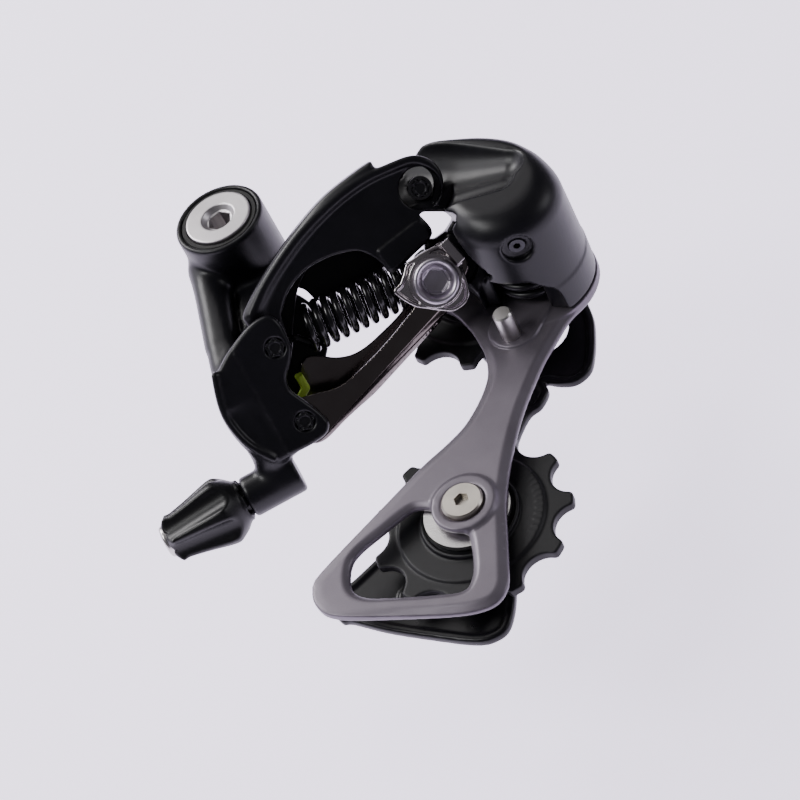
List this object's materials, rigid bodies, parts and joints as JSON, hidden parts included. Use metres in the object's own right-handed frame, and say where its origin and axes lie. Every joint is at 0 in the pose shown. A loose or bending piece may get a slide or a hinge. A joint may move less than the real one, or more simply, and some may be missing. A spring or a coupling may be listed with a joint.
{
  "type": "rear bicycle derailleur",
  "caption": "Rear derailleur with a slant parallelogram, hanger bolt pivot, sprung two-pulley cage, cable clamp and barrel adjuster.",
  "frame": {"origin": "centre of the hanger bolt's shoulder face, where it meets the frame's hanger", "axes": "+Z outboard along the hanger bolt, away from the wheel; +X from the hanger bolt to the cage pivot; +Y towards the front of the bicycle"},
  "size_m": [0.1098, 0.1153, 0.0509],
  "materials": {
    "black_paint": "satin",
    "grey_paint": "satin metallic",
    "black_steel": "satin",
    "silver_steel": "satin",
    "bright_steel": "polished",
    "black_plastic": "fine matt",
    "rubber": "matt",
    "spring_steel": "oiled",
    "bearing_plastic": "waxy",
    "sintered_bronze": "matt"
  },
  "bodies": {
    "hanger_side": {"hanger_bolt": "silver_steel", "b_snap_ring": "silver_steel", "b_stop_plate": "silver_steel"},
    "bracket": {"bracket_knuckle": "black_paint", "b_bush": "bearing_plastic", "b_spring": "spring_steel", "b_seal_ring": "rubber", "b_tension_screw": "black_steel", "outer_link_bracket_pin": "black_steel", "inner_link_bracket_pin": "black_steel", "limit_screws": "black_steel"},
    "adjuster_travel": {"adjuster_barrel": "silver_steel"},
    "adjuster_grip": {"adjuster_knob": "black_plastic"},
    "outer_arm": {"outer_link": "black_paint", "outer_link_bushes": "bearing_plastic"},
    "inner_arm": {"inner_link": "bright_steel", "inner_link_bushes": "bearing_plastic", "cable_clamp_plate": "bright_steel", "cable_clamp_bolt": "bright_steel"},
    "spring_near": {"return_spring": "black_steel"},
    "spring_far": {"return_spring_eye": "black_steel"},
    "knuckle": {"cage_knuckle": "black_paint", "outer_link_knuckle_pin": "black_steel", "inner_link_knuckle_pin": "black_steel", "axle_set_screw": "black_steel", "knuckle_bush": "bearing_plastic", "cage_spring": "spring_steel"},
    "cage": {"cage_outer_plate": "grey_paint", "cage_inner_plate": "black_steel", "cage_axle": "silver_steel", "stop_pin": "silver_steel", "guide_pulley_bolt": "bright_steel", "tension_pulley_bolt": "bright_steel", "guide_pulley_bush": "sintered_bronze", "tension_pulley_bush": "sintered_bronze", "guide_dust_caps": "bright_steel", "tension_dust_caps": "bright_steel"},
    "guide_wheel": {"guide_pulley": "black_plastic"},
    "tension_wheel": {"tension_pulley": "black_plastic"}
  },
  "joints": [
    {"name": "b_pivot", "type": "hinge", "parent": "hanger_side", "child": "bracket", "pos_m": [0, 0, 0.01], "axis": [0, 0, 1], "range_deg": [-40, 0], "stiffness_Nm_per_rad": 0.3, "springref_deg": 34.38},
    {"name": "link_swing", "type": "hinge", "parent": "bracket", "child": "outer_arm", "pos_m": [0.019, -0.0276, 0.0065], "axis": [-0.4685, 0.6061, -0.6428], "range_deg": [0, 60], "stiffness_Nm_per_rad": 0.4, "springref_deg": -40.11},
    {"name": "inner_link_swing", "type": "hinge", "parent": "bracket", "child": "inner_arm", "pos_m": [0.02426, -0.03767, -0.00683], "axis": [-0.4685, 0.6061, -0.6428], "range_deg": [0, 60.5]},
    {"name": "knuckle_swing", "type": "hinge", "parent": "outer_arm", "child": "knuckle", "pos_m": [0.04843, 0.00774, 0.01837], "axis": [-0.4685, 0.6061, -0.6428], "range_deg": [-60.5, 0]},
    {"name": "spring_swing", "type": "hinge", "parent": "bracket", "child": "spring_near", "pos_m": [0.019, -0.0276, 0.0065], "axis": [-0.4685, 0.6061, -0.6428], "range_deg": [0, 53.05]},
    {"name": "spring_stretch", "type": "slide", "parent": "spring_near", "child": "spring_far", "axis": [0.8078, 0.5884, -0.0339], "range_m": [0, 0.01644], "deforming": ["return_spring", "return_spring_eye"]},
    {"name": "cage_pivot", "type": "hinge", "parent": "knuckle", "child": "cage", "pos_m": [0.072, 0, 0], "axis": [0, 0, 1], "range_deg": [0, 100], "stiffness_Nm_per_rad": 0.2, "springref_deg": -57.3},
    {"name": "guide_pulley_spin", "type": "hinge", "parent": "cage", "child": "guide_wheel", "pos_m": [0.055, 0.0018, -0.011], "axis": [0, 0, 1], "continuous": true},
    {"name": "tension_pulley_spin", "type": "hinge", "parent": "cage", "child": "tension_wheel", "pos_m": [0.0706, -0.0617, -0.011], "axis": [0, 0, 1], "continuous": true},
    {"name": "adjuster_travel", "type": "slide", "parent": "bracket", "child": "adjuster_travel", "axis": [-0.7912, -0.6115, 0], "range_m": [0, 0.004]},
    {"name": "adjuster_turn", "type": "hinge", "parent": "adjuster_travel", "child": "adjuster_grip", "pos_m": [0.01424, -0.05709, -0.01161], "axis": [-0.7912, -0.6115, 0], "range_deg": [0, 1810]}
  ],
  "couplings": [
    {"joint": "inner_link_swing", "follows": "link_swing", "ratio": 1},
    {"joint": "knuckle_swing", "follows": "link_swing", "ratio": -1},
    {"joint": "spring_swing", "follows": "link_swing", "ratio": 0.87587},
    {"joint": "spring_stretch", "follows": "link_swing", "m_per_rad": 0.015512},
    {"joint": "adjuster_turn", "follows": "adjuster_travel", "rad_per_m": 7854}
  ]
}
